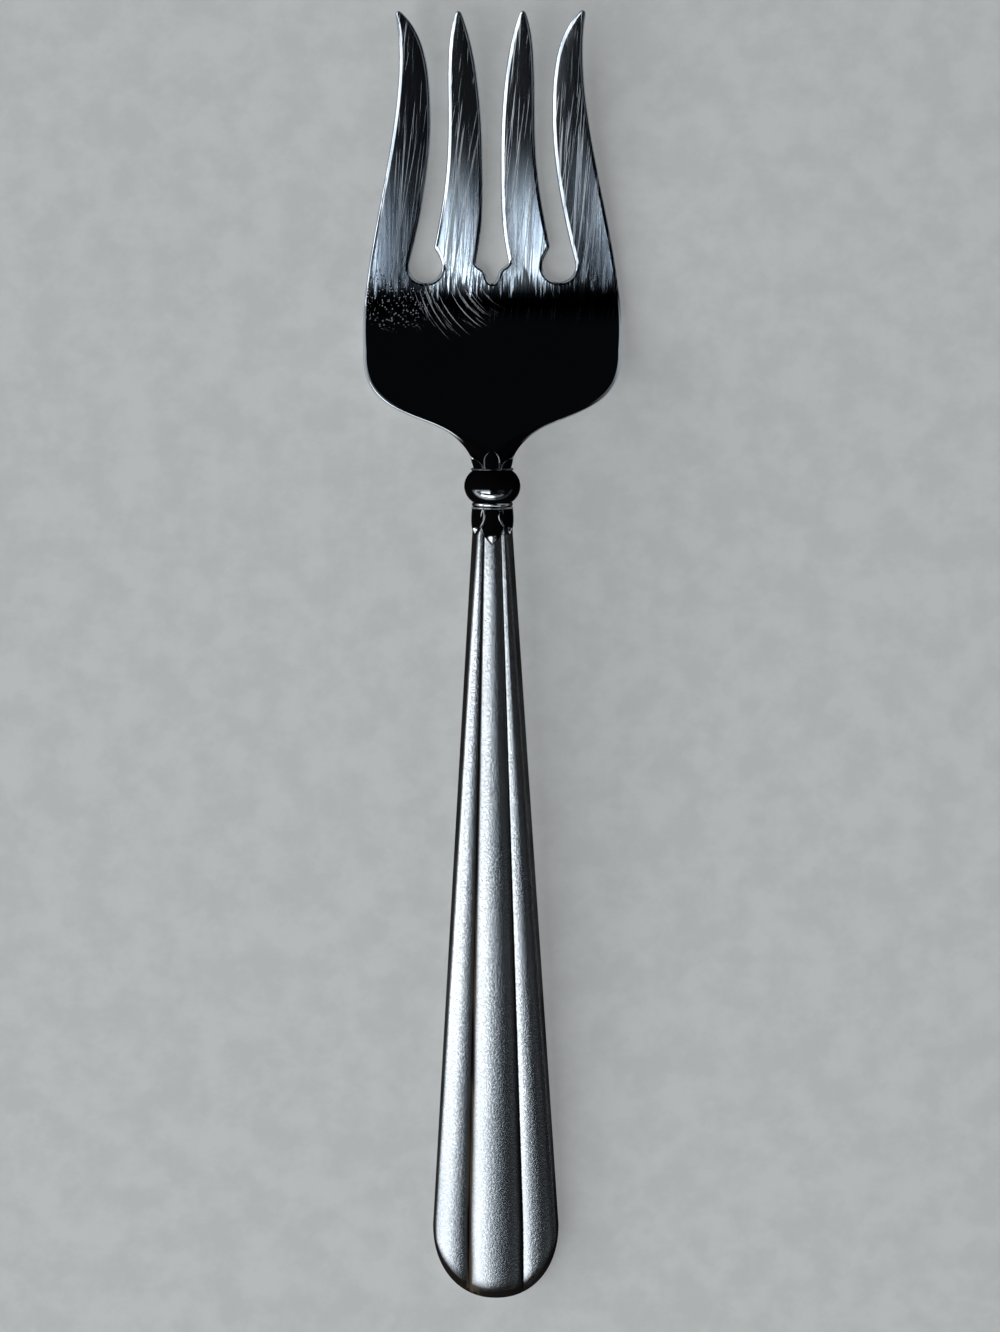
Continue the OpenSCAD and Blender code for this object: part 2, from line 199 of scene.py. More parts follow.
def coatWithTarnishAndShade(material, wire, shader, cover, colour):
    dull = wire.node("ShaderNodeBsdfPrincipled", {}, {"Base Color": colour,
                                                      "Roughness": tarnishAndShadeFilm["roughness"],
                                                      "Specular IOR Level": tarnishAndShadeFilm["gloss"]})
    both = wire.node("ShaderNodeMixShader", {}, {0: cover, 1: Wire(wire.tree, shader.outputs[0]), 2: dull})
    wire.tree.links.new(both.socket, wire.tree.nodes["Material Output"].inputs["Surface"])
    return material


# Mirror polish on the palm, brushed scratches up the tines, a painted dark reflection where the tines begin,
# dark recesses in the leaves, painted shade on flanks and on the knop
# Places are in metres, grains in changes per metre
polish = {
    "steel": (0.70, 0.74, 0.78, 1),
    "steelDull": (0.36, 0.40, 0.46, 1),
    "tarnishAndShade": (0.0032, 0.0031, 0.003, 1),
    "paintedDark": (0.004, 0.004, 0.005, 1),              # painted dark reflection in streaks where the tines begin
    "grains": {                                    # stretch, detail, roughness and distortion
        "brush": ((3300, 60, 300), 3, 0.5, 0.1),
        "streaks": ((1200, 22, 120), 3),
        "ragged": ((2400, 130, 120), 2),
        "patches": ((330, 120, 120), 2),
        "lathe": ((260, 1900, 260), 2),
        "smudge": ((120, 90, 120), 3),
    },
    "roughness": {                                 # the others are added to the palm's
        "palm": 0.03, "smudge": 0.05, "tines": 0.04, "streaks": 0.035, "scratches": 0.21,
        "arcs": 0.50, "pits": 0.22, "bolster": 0.05,
    },
    "relief": {                                    # micrometres
        "brush": 1.6, "streaks": 7, "scratches": 2.5, "lathe": 48, "pits": 46, "arcs": 15,
    },
    "frontLean": (0.93, 0.98),                     # upward parts of a normal on the front
    "palmLean": (0.87, 0.93),                      # the same with the lower palm
    "bolsterEnds": (0.0300, 0.0320),               # along the fork, and so are the next ones
    "tinesFrom": (0.0545, 0.0590),
    "rootsEnd": (0.0640, 0.0730),
    "paintedDarkTo": (0.0620, 0.0636),
    "paintedDarkDeep": (0.0607, 0.0632),
    "paintedDarkLeast": 0.90,                             # depth of the painted dark reflection at its upper border
    "paintedDarkShift": (0.011, 0.006),                   # how far fine lines and patches move that border
    "outerFrom": (0.0095, 0.0125),                 # from the middle to the outer tines
    "outerDull": 0.35,                             # added on the outer tines
    "rootDull": 0.25,                              # share of the dullness left on the inner roots
    "brushShare": 0.4,                             # in the tone, the streaks have the rest
    "toneLimits": (0.3, 0.72),
    "scratches": (                                 # lean in radians, lines per metre, threshold
        (0.13, 4300, 0.61), (0.06, 4700, 0.62), (0.19, 3700, 0.65), (0.09, 4200, 0.65),
    ),
    "scratchRun": (22, 120),
    "scratchEdge": 0.07,
    "arcCentre": (0.0059, 0.0667, 0),              # of the round scratches on the palm
    "arcLines": (5600, 110),                       # outwards and along the fork
    "arcLimits": (0.58, 0.68),
    "arcPatch": ((-0.0072, 0.0590, 0), 0.0115),    # middle and reach
    "pitPatch": ((-0.0168, 0.0596, 0), 0.0105),
    "patchCore": 0.3,                              # share of its reach over which a patch is full
    "patchSquash": 1.6,                            # how much wider than long a patch is
    "pitCells": 2500.0,
    "pitSize": (0.10, 0.42),
    "pitChosen": (0.36, 0.38),                     # about a third of the cells stay bare
    "strayPits": 0.03,                             # outside the patch
    "markShine": 0.9,                              # a mark this strong shows all its steel
}


def polishedSteel():
    material, wire, shader = newMaterial("polishedSteel")
    place = wire.node("ShaderNodeTexCoord", {}, {}, "Object")
    along = wire.node("ShaderNodeSeparateXYZ", {}, {0: place}, "Y")
    normal = wire.node("ShaderNodeNewGeometry", {}, {}, "Normal")
    upward = wire.node("ShaderNodeSeparateXYZ", {}, {0: normal}, "Z")
    onFront = upward.eased(*polish["frontLean"])
    onPalm = upward.eased(*polish["palmLean"])
    onTines = along.eased(*polish["tinesFrom"])
    onBolster = along.eased(*polish["bolsterEnds"], 1.0, 0.0)
    onOuter = along.other("X").size().eased(*polish["outerFrom"])
    brush, streaks, ragged, patches, lathe, smudge = (
        wire.noise(place, *grain) for grain in polish["grains"].values())
    scratches = 0
    for lean, fineness, above in polish["scratches"]:
        slanted = wire.node("ShaderNodeMapping", {}, {"Vector": place, "Rotation": (0, 0, lean)})
        lines = wire.noise(slanted, (fineness, *polish["scratchRun"]), 2, 0.5)
        scratches = lines.eased(above, above + polish["scratchEdge"]) + scratches

    def flatGap(point, squash=1.0):
        away = wire.node("ShaderNodeVectorMath", {"operation": "SUBTRACT"}, {0: place, 1: point})
        level = wire.node("ShaderNodeVectorMath", {"operation": "MULTIPLY"}, {0: away, 1: (1, squash, 0)})
        return wire.node("ShaderNodeVectorMath", {"operation": "LENGTH"}, {0: level}, "Value")

    def patch(middle, reach):
        gap = flatGap(middle, polish["patchSquash"])
        return gap.eased(polish["patchCore"] * reach, reach, 1.0, 0.0)

    outwards, lengthwise = polish["arcLines"]
    rings = wire.node("ShaderNodeCombineXYZ", {}, {0: flatGap(polish["arcCentre"]) * outwards,
                                                   1: along * lengthwise})
    arcs = wire.noise(rings, (1, 1, 1), 2).eased(*polish["arcLimits"]) * patch(*polish["arcPatch"])
    cells = wire.node("ShaderNodeTexVoronoi", {}, {"Vector": place, "Scale": polish["pitCells"]}, "Distance")
    chosen = wire.node("ShaderNodeSeparateColor", {}, {0: cells.other("Color")}).eased(*polish["pitChosen"])
    stray = polish["strayPits"]
    spread = patch(*polish["pitPatch"]) * (1 - stray) + stray
    pits = cells.eased(*polish["pitSize"], 1.0, 0.0) * chosen * spread
    marred = (arcs + pits) * onPalm

    tone = (brush * polish["brushShare"] + streaks * (1 - polish["brushShare"])).eased(*polish["toneLimits"])
    rooted = along.eased(*polish["rootsEnd"], polish["rootDull"], 1.0) * (1 - onOuter) + onOuter
    dulled = (tone * rooted + onOuter * polish["outerDull"]) * onTines
    bare = dulled.tinted(polish["steel"], polish["steelDull"])
    byLines, byPatches = polish["paintedDarkShift"]
    border = along + ragged * byLines + patches * byPatches - (byLines + byPatches) / 2
    # painted dark reflection: the lower tines blacked out up to a ragged border
    paintedDark = (border.eased(*polish["paintedDarkTo"], 1.0, 0.0) * onTines * onFront
            * along.eased(*polish["paintedDarkDeep"], 1.0, polish["paintedDarkLeast"])
            * marred.eased(0.0, polish["markShine"], 1.0, 0.0))
    colour = paintedDark.tinted(bare, polish["paintedDark"])
    rough = polish["roughness"]
    roughness = (smudge * rough["smudge"] + rough["palm"]
                 + onTines * (tone * rough["streaks"] + scratches * rough["scratches"] + rough["tines"])
                 + (arcs * rough["arcs"] + pits * rough["pits"]) * onPalm + onBolster * rough["bolster"])
    relief = polish["relief"]
    brushed = brush * relief["brush"] + streaks * relief["streaks"] + scratches * relief["scratches"]
    height = (onTines * brushed + onBolster * lathe * relief["lathe"]
              - (pits * relief["pits"] + arcs * relief["arcs"]) * onPalm)
    bumped = wire.node("ShaderNodeBump", {}, {"Strength": 1.0, "Distance": micrometre, "Height": height})
    plug(wire, shader, Base_Color=colour, Roughness=roughness, Normal=bumped)
    shader.inputs["Metallic"].default_value = 1.0
    # dark film from the mark: tarnish in the leaves, painted shade on the knop, ring, neck and flanks
    return coatWithTarnishAndShade(material, wire, shader, wire.mark("patinaAndShade"), polish["tarnishAndShade"])


# Satin handle: fine grain along the reeds, dark in the grooves and brownish in the left one
satin = {
    "steel": (0.75, 0.78, 0.81, 1),
    "steelDull": (0.50, 0.53, 0.57, 1),
    "tarnishAndShade": (0.014, 0.012, 0.011, 1),
    "brown": (0.085, 0.062, 0.042, 1),
    "grains": {
        "grain": ((2900, 2300, 2900), 2, 0.7),
        "strokes": ((3200, 120, 3200), 3),
        "cloud": ((160, 60, 160), 3),
        "blotches": ((900, 30, 900), 2),
    },
    "toneShares": (0.7, 0.15, 0.15),     # of grain, strokes and cloud
    "toneLimits": (0.36, 0.64),
    "dullEnd": (-0.100, -0.050),         # the steel darkens towards the end, metres along the fork
    "endDull": 0.10,
    "roughness": {"even": 0.185, "cloud": 0.08, "strokes": 0.05},
    "relief": {"grain": 46, "strokes": 4},   # micrometres
    "coverShares": (0.8, 0.4),           # of the tarnish and painted shade, even and in clouds
    "coverLimits": (0.05, 0.95),
    "brownFrom": (-0.0062, -0.0050),     # sides of the left groove, metres across the fork
    "brownTo": (-0.0034, -0.0024),
    "brownEnd": (-0.050, -0.030),        # metres along the fork
    "brownLimits": (0.40, 0.60),
}


def satinSteel():
    material, wire, shader = newMaterial("satinSteel")
    place = wire.node("ShaderNodeTexCoord", {}, {}, "Object")
    along = wire.node("ShaderNodeSeparateXYZ", {}, {0: place}, "Y")
    across = along.other("X")
    grain, strokes, cloud, blotches = (
        wire.noise(place, *settings) for settings in satin["grains"].values())
    ofGrain, ofStrokes, ofCloud = satin["toneShares"]
    dulled = along.eased(*satin["dullEnd"], satin["endDull"], 0.0)
    tone = (grain * ofGrain + strokes * ofStrokes + cloud * ofCloud + dulled).eased(*satin["toneLimits"])
    colour = tone.tinted(satin["steel"], satin["steelDull"])
    rough, relief = satin["roughness"], satin["relief"]
    roughness = cloud * rough["cloud"] + strokes * rough["strokes"] + rough["even"]
    height = grain * relief["grain"] + strokes * relief["strokes"]
    bumped = wire.node("ShaderNodeBump", {}, {"Strength": 1.0, "Distance": micrometre, "Height": height})
    plug(wire, shader, Base_Color=colour, Roughness=roughness, Normal=bumped)
    shader.inputs["Metallic"].default_value = 1.0
    even, clouded = satin["coverShares"]
    # the mark lays tarnish in the grooves and painted shade on the flanks, below the leaves, on the left rim
    # and round the end
    cover = (wire.mark("patinaAndShade") * (cloud * clouded + even)).eased(*satin["coverLimits"])
    leftGroove = (across.eased(*satin["brownFrom"]) * across.eased(*satin["brownTo"], 1.0, 0.0)
                  * along.eased(*satin["brownEnd"], 1.0, 0.0))
    brown = blotches.eased(*satin["brownLimits"]) * leftGroove
    stain = brown.tinted(satin["tarnishAndShade"], satin["brown"])
    return coatWithTarnishAndShade(material, wire, shader, cover, stain)


# Set cement inside the handle, seen nowhere from outside
cement = {
    "light": (0.50, 0.45, 0.38, 1),
    "dark": (0.36, 0.32, 0.27, 1),
    "roughness": 0.85,
    "clumps": ((700, 700, 700), 5, 0.65),
    "clumpLimits": (0.3, 0.7),
    "bumpStrength": 0.6,
    "bumpHeight": 0.0002,
}


def fillerCement():
    material, wire, shader = newMaterial("fillerCement")
    place = wire.node("ShaderNodeTexCoord", {}, {}, "Object")
    clumps = wire.noise(place, *cement["clumps"])
    colour = clumps.eased(*cement["clumpLimits"]).tinted(cement["dark"], cement["light"])
    bumped = wire.node("ShaderNodeBump", {}, {"Strength": cement["bumpStrength"],
                                              "Distance": cement["bumpHeight"], "Height": clumps})
    plug(wire, shader, Base_Color=colour, Normal=bumped)
    shader.inputs["Roughness"].default_value = cement["roughness"]
    return material


polishedLook = polishedSteel()
satinLook = satinSteel()
print("materials made")

# The hollow handle: three reeds on the front, a smooth back
handle = {
    "length": 132.8,
    "endWidth": 21.1,
    "mouthDiameter": 6.3,
    "endLength": 12.5,
    "endFullness": 2.15,
    "endRoll": 2.2,
    "reedHeight": 2.8,
    "sideReedHeight": 1.95,
    "mouthBlend": 50.0,
    "grooveDepthEnd": 1.1,
    "grooveDepthMouth": 0.4,
    "backDepth": 2.4,
    "wall": 0.6,
    "tilt": 3.2,
    "arch": 2.0,
    "restFlat": 0.2,
    "grooveAt": 0.425,
    "crestAt": 0.6,
    "sideFullness": 2.2,
    "seam": 0.05,
    "tarnishLeft": (0.085, 0.045),        # reach of the dark inside and outside each groove, as a share
    "tarnishRight": (0.050, 0.016),
    "mouthShade": (0.4, 15.0, 9.0),     # painted shade below the leaves: most, start below the mouth, reach
    "leftRimShade": (0.6, 0.80, 0.18),  # painted shade on the left rim: most, start and reach as shares of the half width
    "endShade": (0.92, 1.1, 2.6),       # painted shade round the end: most, start and reach of its fading
    "frontFlanks": (0.85, 0.93, 0.28),    # painted shade on the flanks, as makePiece takes them
    "backFlanks": (0.5, 0.85, 0.4),
    "rollRows": 14,
    "lengthRows": 90,
    "columns": (22, 12, 26),              # over half the middle reed, a groove's outer flank and a side reed
}
tilt = math.radians(handle["tilt"])
mouthRadius = handle["mouthDiameter"] / 2
endShift = handle["arch"] * math.sin(tilt)
heelDrop = (handle["arch"] + handle["backDepth"]) * math.cos(tilt) - handle["endRoll"] * math.sin(tilt)
axisY = cadLow.y / mm - endShift
axisZ = heelDrop - handle["restFlat"]
handleFrame = Matrix.Translation((0, axisY, axisZ)) @ Matrix.Rotation(tilt, 4, "X")


def onHandle(points):
    return [handleFrame @ Vector(p) for p in points]


def halfWidth(y):
    taper = within((y - handle["endLength"]) / (handle["length"] - handle["endLength"]))
    return mix(handle["endWidth"] / 2, mouthRadius, taper)


def jointZ(y):
    return -handle["arch"] * (1 - y / handle["length"]) ** 2


def frontHeight(share, y, inset):
    run = y / handle["length"]
    crestAt, grooveAt = handle["crestAt"], handle["grooveAt"]
    crest = mix(handle["reedHeight"], mouthRadius, run)
    groove = crest * arch(grooveAt) - mix(handle["grooveDepthEnd"], handle["grooveDepthMouth"], run) - inset
    side = mix(handle["sideReedHeight"], mouthRadius * arch(crestAt), run) - inset
    if share <= grooveAt:
        return mix(groove, crest - inset, arch(share / grooveAt))
    if share <= crestAt:
        return mix(groove, side, arch((crestAt - share) / (crestAt - grooveAt)))
    out = (share - crestAt) / (1 - crestAt)
    rounded = smooth(1 - (handle["length"] - y) / handle["mouthBlend"])
    full = math.sqrt(max(0.0, 1 - out ** handle["sideFullness"]))
    return side * mix(full, arch(share) / arch(crestAt), rounded)


def backHeight(share, y, inset):
    return -(mix(handle["backDepth"], mouthRadius, y / handle["length"]) - inset) * arch(share)


# How far up the handle its round end reaches, at a share of the half width
def endBow(share):
    fullness = handle["endFullness"]
    return handle["endLength"] * (1 - (1 - min(1.0, share) ** fullness) ** (1 / fullness))


# Shares of the half width at which the lines along the handle run
def handleLines():
    middle, flank, side = handle["columns"]
    crestAt, grooveAt = handle["crestAt"], handle["grooveAt"]
    half = [grooveAt * math.sin(math.pi / 2 * i / middle) for i in range(1, middle + 1)]
    half += [mix(crestAt, grooveAt, math.cos(math.pi / 2 * i / flank)) for i in range(1, flank + 1)]
    half += [math.sin(mix(math.asin(crestAt), math.pi / 2, i / side)) for i in range(1, side + 1)]
    return [-share for share in reversed(half)] + [0.0] + half


# One skin of a shell as rows of points, moved inwards by the inset
def shellSkin(height, inset):
    lastRow = handle["rollRows"] + handle["lengthRows"]
    rows = []
    for row in range(lastRow + 1):
        turn = min(1.0, row / handle["rollRows"]) * math.pi / 2
        line = []
        for place in handleLines():
            share = abs(place)
            y = endBow(share) + inset + handle["endRoll"] * (1 - math.cos(turn))
            if row > handle["rollRows"]:
                y = mix(y, handle["length"], (row - handle["rollRows"]) / handle["lengthRows"])
            x = place * (halfWidth(y) - inset)
            z = jointZ(y) + math.sin(turn) * height(share, y, inset)
            if inset == 0 and share == 1:
                x -= math.copysign(handle["seam"], x)
            if inset == 0 and row == 0:
                y += handle["seam"]
            line.append((x, y, z))
        rows.append(line)
    return rows


# Closes the space between two skins, the first one above the second
def sandwich(upper, lower):
    rows, columns = len(upper), len(upper[0])
    points = [p for skin in (upper, lower) for line in skin for p in line]

    def top(r, c):
        return r * columns + c

    def base(r, c):
        return (rows + r) * columns + c

    faces = []
    for r in range(rows - 1):
        for c in range(columns - 1):
            faces.append((top(r, c), top(r, c + 1), top(r + 1, c + 1), top(r + 1, c)))
            faces.append((base(r, c), base(r + 1, c), base(r + 1, c + 1), base(r, c + 1)))
        faces.append((base(r, 0), top(r, 0), top(r + 1, 0), base(r + 1, 0)))
        end = columns - 1
        faces.append((base(r, end), base(r + 1, end), top(r + 1, end), top(r, end)))
    for c in range(columns - 1):
        last = rows - 1
        faces.append((base(0, c), base(0, c + 1), top(0, c + 1), top(0, c)))
        faces.append((base(last, c), top(last, c), top(last, c + 1), base(last, c + 1)))
    return points, faces


# How dark the film sits: tarnish in the grooves, painted shade at the mouth, on the left rim and round the
# end, from 0 to 1
def handleTarnishAndShade(points):
    mouthMost, mouthStart, mouthReach = handle["mouthShade"]
    rimMost, rimStart, rimReach = handle["leftRimShade"]
    endMost, endStart, endReach = handle["endShade"]
    marks = []
    for x, y, z in points:
        share = abs(x) / halfWidth(y)
        inside, outside = handle["tarnishLeft" if x < 0 else "tarnishRight"]
        off = share - handle["grooveAt"]
        groove = math.exp(-(off / (outside if off > 0 else inside)) ** 2)
        # painted shade below the leaves, on the left rim and round the end
        mouth = mouthMost * rise(y, handle["length"] - mouthStart, mouthReach)
        rim = rimMost * rise(share, rimStart, rimReach) if x < 0 else 0.0
        end = endMost * (1 - rise(y - endBow(share), endStart, endReach))
        marks.append(max(groove, mouth, rim, end))
    return marks


def makeHandle():
    outer, inner = shellSkin(frontHeight, 0), shellSkin(frontHeight, handle["wall"])
    points, faces = sandwich(outer, inner)
    makePiece("handleFront", onHandle(points), faces, "handle_front_shell", satinLook,
              patinaAndShade=handleTarnishAndShade(points), flanks=handle["frontFlanks"])
    outer, inner = shellSkin(backHeight, 0), shellSkin(backHeight, handle["wall"])
    points, faces = sandwich(inner, outer)
    placed = [Vector((p.x, p.y, max(0.0, p.z))) for p in onHandle(points)]
    makePiece("handleBack", placed, faces, "handle_back_shell", satinLook,
              flanks=handle["backFlanks"])
    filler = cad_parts["handle_filler"]
    filler.data.materials.clear()
    filler.data.materials.append(fillerCement())


makeHandle()

# The bolster: knop, ring and two leaf cups, all threaded on the tang
bolster = {
    "lowerPlate": 0.4,
    "ringLength": 0.75,
    "ringDiameter": 6.9,
    "knopLength": 5.3,
    "knopDiameter": 9.4,
    "knopEndDiameter": 6.5,
    "knopLip": 0.18,
    "upperPlate": 0.4,
    "bore": 3.3,
    "leafThickness": 0.3,
    "seat": 0.05,
    "lowerLeaf": {"width": 4.0, "length": 6.0, "sideLength": 4.2, "drop": 0.34, "tipAngle": 135},
    "upperLeaf": {"width": 2.7, "length": 3.0, "sideLength": 2.2, "drop": 0.0, "tipAngle": 158},
    "upperSide": {"drop": 0.3, "tipAngle": 135},
    "sideLeafTurns": (-128, -52, 52, 128),
    "leafSpread": 18,                 # turn of the upper side leaves between foot and tip, outwards
    "tipLift": 0.12,
    # painted shade on leaning faces: most, start, band
    "knopFlanks": (1.0, 0.80, 0.14),
    "ringFlanks": (0.95, 0.80, 0.3),
    "knopTop": (0.27, 0.16),          # start and reach of the painted shade on its top, as shares of the knop's length
    "knopRight": (0.93, -0.3, 1.1),   # most, start and reach of the painted shade towards the right
    "lowerPlateTarnish": 0.6,
    "upperPlateTarnish": 0.88,
    "segments": 160,
    "rimSteps": 16,
    "knopSteps": 40,
}
ringStart = handle["length"] + bolster["lowerPlate"]
knopStart = ringStart + bolster["ringLength"]
upperStart = knopStart + bolster["knopLength"]
neckStart = upperStart + bolster["upperPlate"]
neckY = axisY + neckStart * math.cos(tilt)
neckZ = axisZ + neckStart * math.sin(tilt)


# Turns a closed profile of (radius, place along the handle) round the handle's axis
def turned(profile):
    count, around = len(profile), bolster["segments"]
    points = []
    for i in range(around):
        angle = 2 * math.pi * i / around
        points += [(r * math.sin(angle), y, r * math.cos(angle)) for r, y in profile]
    faces = []
    for i in range(around):
        here, there = i * count, (i + 1) % around * count
        for k in range(count):
            following = (k + 1) % count
            faces.append((here + k, there + k, there + following, here + following))
    return points, faces


# Profile of a disc with a round rim
def discProfile(start, radius, length):
    bore, half = bolster["bore"] / 2, length / 2
    rim = radius - half
    turns = [math.pi * i / bolster["rimSteps"] for i in range(1, bolster["rimSteps"])]
    outside = [(rim + half * math.sin(a), start + half * (1 - math.cos(a))) for a in turns]
    return [(bore, start), (rim, start)] + outside + [(rim, start + length), (bore, start + length)]


# Profile of the oval bead, with a small round at each end
def knopProfile():
    bore, half = bolster["bore"] / 2, bolster["knopLength"] / 2
    radius, steps = bolster["knopDiameter"] / 2, bolster["knopSteps"]
    bulge = (bolster["knopDiameter"] - bolster["knopEndDiameter"]) / 2
    belly = (half ** 2 + bulge ** 2) / (2 * bulge)
    reach = math.asin((half - bolster["knopLip"]) / belly)
    sweep = [mix(-reach, reach, i / steps) for i in range(steps + 1)]
    outside = [(radius - belly * (1 - math.cos(a)), knopStart + half + belly * math.sin(a)) for a in sweep]
    endRadius, knopEnd = outside[0][0] - bolster["knopLip"], knopStart + 2 * half
    return [(bore, knopStart), (endRadius, knopStart)] + outside + [(endRadius, knopEnd), (bore, knopEnd)]


# Points of a curve from a to b, with the directions in degrees at which it leaves and reaches them
def bend(a, leave, b, reach, steps, pull=0.34):
    a, b = np.array(a, float), np.array(b, float)
    arm = np.linalg.norm(b - a) * pull
    h, k = a + arm * towards(leave), b - arm * towards(reach)
    points = []
    for i in range(1, steps + 1):
        t = i / steps
        u = 1 - t
        points.append(u ** 3 * a + 3 * u * u * t * h + 3 * u * t * t * k + t ** 3 * b)
    return points


# Form of every leaf, as shares of its width and length, with heights in millimetres
leafForm = {
    "foot": 0.43,
    "footAngle": 70,
    "fullness": 0.45,
    "leastHalf": 0.03,            # millimetres, keeps the tip open
    "rim": (0.80, 0.10),          # start and reach of the raised rim
    "rimHeight": 0.10,
    "fieldDepth": 0.06,
    "veinWidth": 0.10,
    "veinHeight": 0.04,
    "veinEnd": (0.45, 0.25),
    "drop": (0.84, 0.12),         # middle and reach of the bright drop along the leaf
    "dropWidth": 0.7,
    "dropEdge": 0.3,
    "keel": 0.8,
    "rimShine": 0.4,
    "rimShineEnd": (0.6, 0.15),   # on leaves with a drop
    "edgeThickness": 0.45,
    "insideTarnish": 0.9,
    "rows": 34,
    "columns": 28,
}


# Relief of a leaf: thin raised rim, sunk field, vein and a keeled drop at the tip
# Gives its height and its tarnish
def leafRelief(across, along, half, drop):
    side = abs(across)
    rim = rise(side, *leafForm["rim"])
    vein = math.exp(-(across / leafForm["veinWidth"]) ** 2) * (1 - rise(along, *leafForm["veinEnd"]))
    field = leafForm["rimHeight"] * rim - leafForm["fieldDepth"] + leafForm["veinHeight"] * vein
    bright, tip = leafForm["rimShine"] * rim, 0.0
    if drop:
        middle, reach = leafForm["drop"]
        oval = 1 - ((along - middle) / reach) ** 2 - (side / leafForm["dropWidth"]) ** 2
        tip = smooth(oval / leafForm["dropEdge"])
        bright *= 1 - rise(along, *leafForm["rimShineEnd"])
    keel = drop * half * (leafForm["keel"] - side)
    return mix(field, keel, tip), float((1 - bright) * (1 - tip))


# One leaf on the wall radius(v), at a turn round the axis. It grows along way from start.
def leaf(start, way, turn, width, length, radius, drop, tipAngle, sweep=0.0):
    foot, rows, columns = leafForm["foot"] * width, leafForm["rows"], leafForm["columns"]
    edge = [np.array([foot, 0.0])]
    edge += bend((foot, 0), leafForm["footAngle"], (0, length), tipAngle, rows, leafForm["fullness"])
    outer, inner, marks = [], [], []
    for half, v in edge:
        half = max(half, leafForm["leastHalf"])
        outerRow, innerRow = [], []
        for c in range(columns + 1):
            across = -math.cos(math.pi * c / columns)
            height, dark = leafRelief(across, v / length, half, drop)
            rounding = bolster["leafThickness"] * mix(leafForm["edgeThickness"], 1.0, arch(across ** 4))
            for row, wall in ((outerRow, rounding + height), (innerRow, 0.0)):
                r = radius(v) + bolster["seat"] + wall
                angle = math.asin(min(1.0, half * across / r)) + math.radians(turn + sweep * v / length)
                row.append((r * math.sin(angle), start + way * v, r * math.cos(angle)))
            marks.append(dark)
        outer.append(outerRow)
        inner.append(innerRow)
    points, faces = sandwich(outer, inner)
    if way < 0:
        faces = [tuple(reversed(face)) for face in faces]
    return points, faces, marks + [leafForm["insideTarnish"]] * len(marks)


# The round plate of a leaf cup, evenly tarnished
def cupPlate(start, radius, length, tarnishAndShade):
    points, faces = turned(discProfile(start, radius, length))
    return points, faces, [tarnishAndShade] * len(points)


# Joins separate closed forms into one list of points, faces and marks
def joined(forms):
    points, faces, marks = [], [], []
    for formPoints, formFaces, formMarks in forms:
        offset = len(points)
        points += formPoints
        faces += [tuple(i + offset for i in face) for face in formFaces]
        marks += formMarks
    return points, faces, marks


# Half width of the neck at a height, flaring towards the shoulders
def neckFlare(v):
    return head["neckDiameter"] / 2 + v * v / (2 * head["neckHollow"])


def makeBolster():
    points, faces = turned(knopProfile())
    topStart, topReach = bolster["knopTop"]
    rightMost, rightStart, rightReach = bolster["knopRight"]
    # painted shade over the top and the right of the knop, hiding its reflections
    darkened = [max(rise((y - knopStart) / bolster["knopLength"], topStart, topReach),
                    rightMost * rise(x, rightStart, rightReach)) for x, y, z in points]
    makePiece("knopBead", onHandle(points), faces, "knop", polishedLook,
              patinaAndShade=darkened, flanks=bolster["knopFlanks"])
    points, faces = turned(discProfile(ringStart, bolster["ringDiameter"] / 2, bolster["ringLength"]))
    makePiece("collarRing", onHandle(points), faces, "collar_ring", polishedLook,
              flanks=bolster["ringFlanks"])

    thick = bolster["seat"] + bolster["leafThickness"]
    size, lap, foot = bolster["lowerLeaf"], bolster["lowerPlate"] / 2, handle["length"]
    look = size["drop"], size["tipAngle"]
    reach, sideReach = size["length"] + lap, size["sideLength"] + lap
    forms = [cupPlate(foot, mouthRadius + thick, bolster["lowerPlate"], bolster["lowerPlateTarnish"])]
    for turn in (0, 180):
        forms.append(leaf(foot + lap, -1, turn, size["width"], reach,
                          lambda v: mouthRadius + bolster["tipLift"] * v / reach, *look))
    for turn in bolster["sideLeafTurns"]:
        forms.append(leaf(foot + lap, -1, turn, size["width"], sideReach,
                          lambda v: mix(mouthRadius, halfWidth(foot - sideReach), v / sideReach), *look))
    points, faces, marks = joined(forms)
    makePiece("lowerLeafCup", onHandle(points), faces, "lower_leaf_cup", polishedLook,
              patinaAndShade=marks)

    size, lap, neckRadius = bolster["upperLeaf"], bolster["upperPlate"] / 2, head["neckDiameter"] / 2
    look, sideLook = (size["drop"], size["tipAngle"]), bolster["upperSide"].values()
    reach, sideReach = size["length"] + lap, size["sideLength"] + lap
    forms = [cupPlate(upperStart, neckRadius + thick, bolster["upperPlate"], bolster["upperPlateTarnish"])]
    for turn in (0, 180):
        forms.append(leaf(neckStart - lap, 1, turn, size["width"], reach, lambda v: neckRadius, *look))
    for turn in bolster["sideLeafTurns"]:
        wall, spread = neckFlare, math.copysign(bolster["leafSpread"], turn)
        if abs(turn) > 90:   # on the back
            wall, spread = lambda v: neckRadius, -spread
        forms.append(leaf(neckStart - lap, 1, turn - spread / 2, size["width"], sideReach, wall,
                          *sideLook, spread))
    points, faces, marks = joined(forms)
    makePiece("upperLeafCup", onHandle(points), faces, "upper_leaf_cup", polishedLook,
              patinaAndShade=marks)


